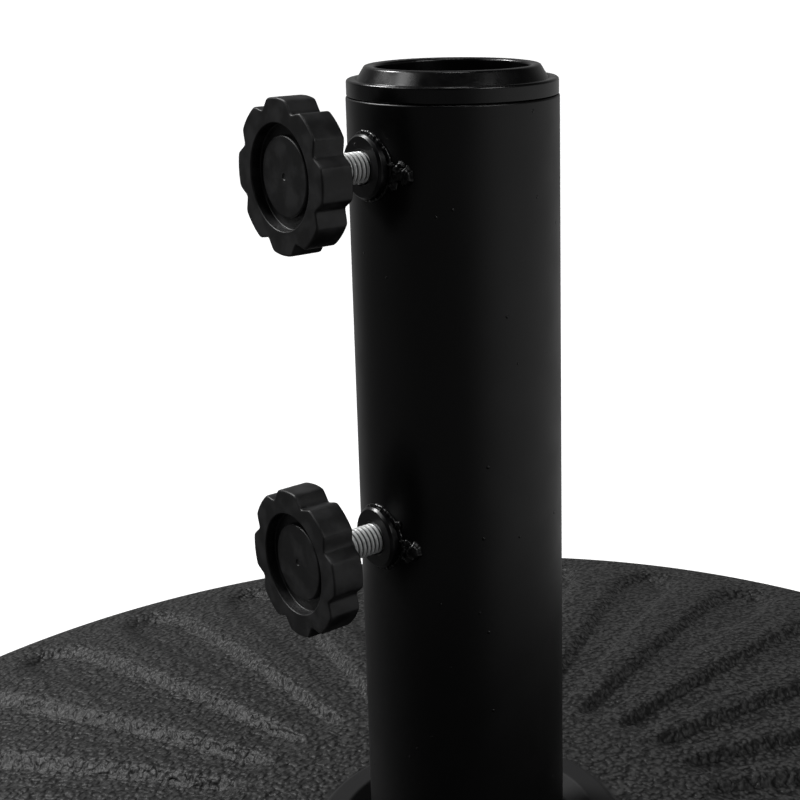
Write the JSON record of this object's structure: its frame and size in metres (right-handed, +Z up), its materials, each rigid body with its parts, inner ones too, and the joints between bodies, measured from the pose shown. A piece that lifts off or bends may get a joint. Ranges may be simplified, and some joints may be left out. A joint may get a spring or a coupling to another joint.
{
  "type": "parasol base",
  "caption": "Round weighted parasol base with radial flutes and a smooth collar, an upright steel pole tube, side clamp screws with lobed knobs, and a reducer ring in the tube's mouth.",
  "frame": {"origin": "on the floor, on the axis of the pole tube", "axes": "+Z up along the pole tube; the two clamp screws stand out towards -X"},
  "size_m": [0.5, 0.5, 0.2794],
  "materials": {
    "shell_plastic": "pebble-grained charcoal moulded plastic",
    "concrete": "cast concrete",
    "pan_plastic": "plain moulded black",
    "foot_rubber": "moulded black rubber",
    "tube_paint": "satin black powder coat",
    "nut_paint": "satin black powder coat over a turned nut",
    "weld_paint": "glossy black powder coat over weld",
    "zinc_steel": "bright zinc plating",
    "ring_plastic": "semi-gloss moulded black",
    "knob_plastic": "fine matt moulded black"
  },
  "bodies": {
    "base": {"base_shell": "shell_plastic", "concrete_core": "concrete", "base_pan": "pan_plastic", "pan_screws": "zinc_steel", "rubber_feet": "foot_rubber", "pole_tube": "tube_paint", "tube_end_plate": "tube_paint", "tube_end_nut": "tube_paint", "anchor_bolt": "zinc_steel", "anchor_spring_washer": "zinc_steel", "anchor_washer": "zinc_steel", "upper_weld_nut": "nut_paint", "upper_weld_bead": "weld_paint", "lower_weld_nut": "nut_paint", "lower_weld_bead": "weld_paint"},
    "ring": {"pole_ring": "ring_plastic"},
    "upper_screw": {"upper_clamp_screw": "zinc_steel"},
    "upper_grip": {"upper_knob": "knob_plastic", "upper_knob_cap": "knob_plastic"},
    "lower_screw": {"lower_clamp_screw": "zinc_steel"},
    "lower_grip": {"lower_knob": "knob_plastic", "lower_knob_cap": "knob_plastic"}
  },
  "joints": [
    {"name": "ring_lift", "type": "slide", "parent": "base", "child": "ring", "axis": [0, 0, 1], "range_m": [0, 0.03]},
    {"name": "upper_knob_turn", "type": "hinge", "parent": "upper_screw", "child": "upper_grip", "pos_m": [-0.048, 0, 0.2557], "axis": [1, 0, 0], "range_deg": [-720, 3780]},
    {"name": "upper_screw_feed", "type": "slide", "parent": "base", "child": "upper_screw", "axis": [1, 0, 0], "range_m": [-0.00251, 0.01314]},
    {"name": "lower_knob_turn", "type": "hinge", "parent": "lower_screw", "child": "lower_grip", "pos_m": [-0.048, 0, 0.15775], "axis": [1, 0, 0], "range_deg": [-720, 3780]},
    {"name": "lower_screw_feed", "type": "slide", "parent": "base", "child": "lower_screw", "axis": [1, 0, 0], "range_m": [-0.00251, 0.01314]}
  ],
  "couplings": [
    {"joint": "upper_screw_feed", "follows": "upper_knob_turn", "m_per_rad": 0.00019894},
    {"joint": "lower_screw_feed", "follows": "lower_knob_turn", "m_per_rad": 0.00019894}
  ]
}
